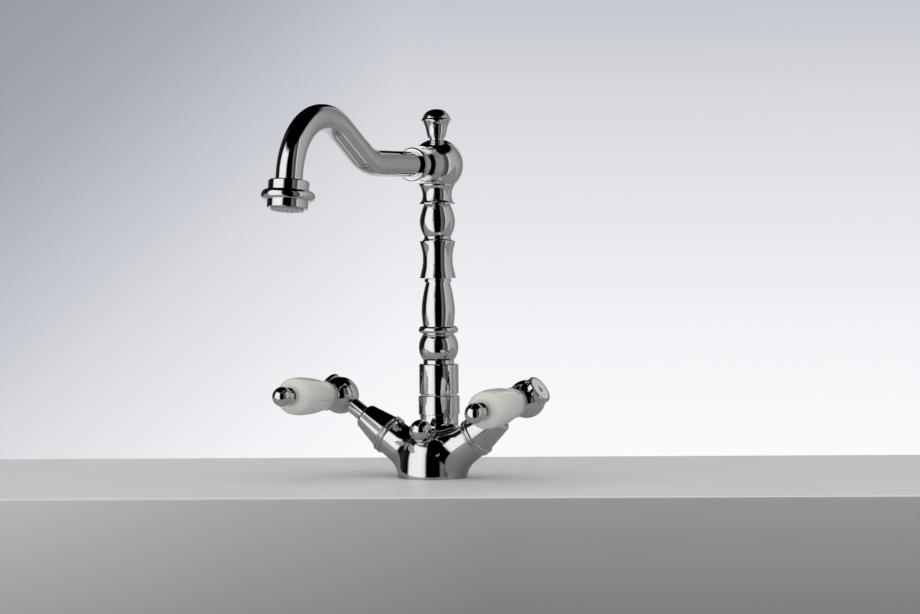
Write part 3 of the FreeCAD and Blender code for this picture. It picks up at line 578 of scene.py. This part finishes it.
def make_floor():
    """A matt slab under the tap, which ends a little way behind and in front of it."""
    back, front = studio().floor_back, studio().floor_front
    mesh = bmesh.new()
    bmesh.ops.create_cube(mesh, size=1.0)
    size = (2 * DECK_HALF_LENGTH, back + front, DECK_THICKNESS)
    bmesh.ops.scale(mesh, vec=size, verts=mesh.verts)
    bmesh.ops.translate(
        mesh, vec=(0, (back - front) / 2, -DECK_THICKNESS / 2), verts=mesh.verts
    )
    bmesh.ops.bevel(
        mesh, geom=mesh.edges[:], offset=DECK_EDGE, segments=DECK_EDGE_SEGMENTS, profile=0.5,
        affect="EDGES", material=-1,
    )
    turn = Matrix.Rotation(studio().azimuth + studio().turn - studio().floor_turn, 4, "Z")
    bmesh.ops.transform(mesh, matrix=turn, verts=mesh.verts)
    mesh.normal_update()
    for face in mesh.faces:
        face.material_index = 0 if face.normal.z > TOP_NORMAL else 1
    data = bpy.data.meshes.new("deck")
    mesh.to_mesh(data)
    mesh.free()
    deck = bpy.data.objects.new("deck", data)
    bpy.context.collection.objects.link(deck)
    # The top carries a painted sheen; the sides are painted darker as shade and scaled by the
    # painted fall of light
    for name, colour, level in (
        ("Deck top", studio().floor, painted_sheen_level),
        ("Deck sides", studio().shaded_floor_side, fall_level),
    ):
        paint = make_material(
            name, colour, roughness=(0.36, 0.5), scale=8.0, detail=900.0, shade=0.02,
            level=level,
        )
        data.materials.append(paint)


def make_lamp(name, direction, distance, size, power):
    """A soft lamp that lights matt surfaces and stays out of the polished ones."""
    data = bpy.data.lights.new(name, "AREA")
    data.shape = "RECTANGLE"
    data.size, data.size_y = size
    data.energy = power
    lamp = bpy.data.objects.new(name, data)
    bpy.context.collection.objects.link(lamp)
    aim = Vector(LAMP_AIM)
    lamp.location = aim + direction.normalized() * distance
    lamp.rotation_mode = "QUATERNION"
    lamp.rotation_quaternion = (aim - lamp.location).to_track_quat("-Z", "Y")
    lamp.visible_glossy = False
    lamp.visible_camera = False


def make_camera():
    """The photograph's camera."""
    data = bpy.data.cameras.new("Camera")
    data.sensor_fit = "HORIZONTAL"
    data.sensor_width = SENSOR_WIDTH
    data.lens = studio().lens
    data.clip_start, data.clip_end = CLIP_START, CLIP_END
    camera = bpy.data.objects.new("Camera", data)
    bpy.context.collection.objects.link(camera)
    azimuth, distance, height = studio().azimuth, studio().distance, studio().height
    look, tilt, roll = azimuth + studio().turn, studio().tilt, studio().roll
    place = Vector((distance * math.sin(azimuth), -distance * math.cos(azimuth), height))
    ahead = Vector(
        (-math.sin(look) * math.cos(tilt), math.cos(look) * math.cos(tilt), math.sin(tilt))
    )
    level = Vector((math.cos(look), math.sin(look), 0))
    above = level.cross(ahead)
    right = level * math.cos(roll) + above * math.sin(roll)
    up = above * math.cos(roll) - level * math.sin(roll)
    turned = Matrix((right, up, -ahead)).transposed().to_4x4()
    camera.matrix_world = Matrix.Translation(place) @ turned
    bpy.context.scene.camera = camera


class MIXER_OT_studio(bpy.types.Operator):
    """Camera, deck, backdrop and light"""

    bl_idname = "mixer.studio"
    bl_label = "Studio"

    def execute(self, context):
        bpy.context.scene.view_settings.view_transform = "Standard"
        make_camera()
        make_world()
        make_floor()
        azimuth = studio().azimuth
        left = Vector((-math.cos(azimuth), -math.sin(azimuth), 0))
        near = Vector((math.sin(azimuth), -math.cos(azimuth), 0))
        for name, (leftwards, nearer, up), distance, size, share in LAMPS:
            direction = left * leftwards + near * nearer + Vector((0, 0, up))
            make_lamp(name, direction, distance, size, studio().key * share)
        return {"FINISHED"}


class MIXER_PT_steps(bpy.types.Panel):
    """Lists the steps"""

    bl_idname = "MIXER_PT_steps"
    bl_label = "Mixer"
    bl_space_type = "VIEW_3D"
    bl_region_type = "UI"
    bl_category = "Mixer"

    def draw(self, context):
        for step in STEPS:
            self.layout.operator(step.bl_idname)


STEPS = (
    MIXER_OT_plated, MIXER_OT_porcelain, MIXER_OT_marks, MIXER_OT_inner, MIXER_OT_studio
)
CLASSES = (TapFinish, TapStudio, *STEPS, MIXER_PT_steps)


def register():
    for part in CLASSES:
        bpy.utils.register_class(part)
    bpy.types.Scene.tap_finish = PointerProperty(type=TapFinish)
    bpy.types.Scene.tap_studio = PointerProperty(type=TapStudio)


def unregister():
    del bpy.types.Scene.tap_finish
    del bpy.types.Scene.tap_studio
    for part in reversed(CLASSES):
        bpy.utils.unregister_class(part)


def main():
    register()
    bpy.ops.mixer.plated()
    bpy.ops.mixer.porcelain()
    bpy.ops.mixer.marks()
    bpy.ops.mixer.inner()
    bpy.ops.mixer.studio()
    bpy.context.view_layer.update()


if __name__ == "__main__":
    main()
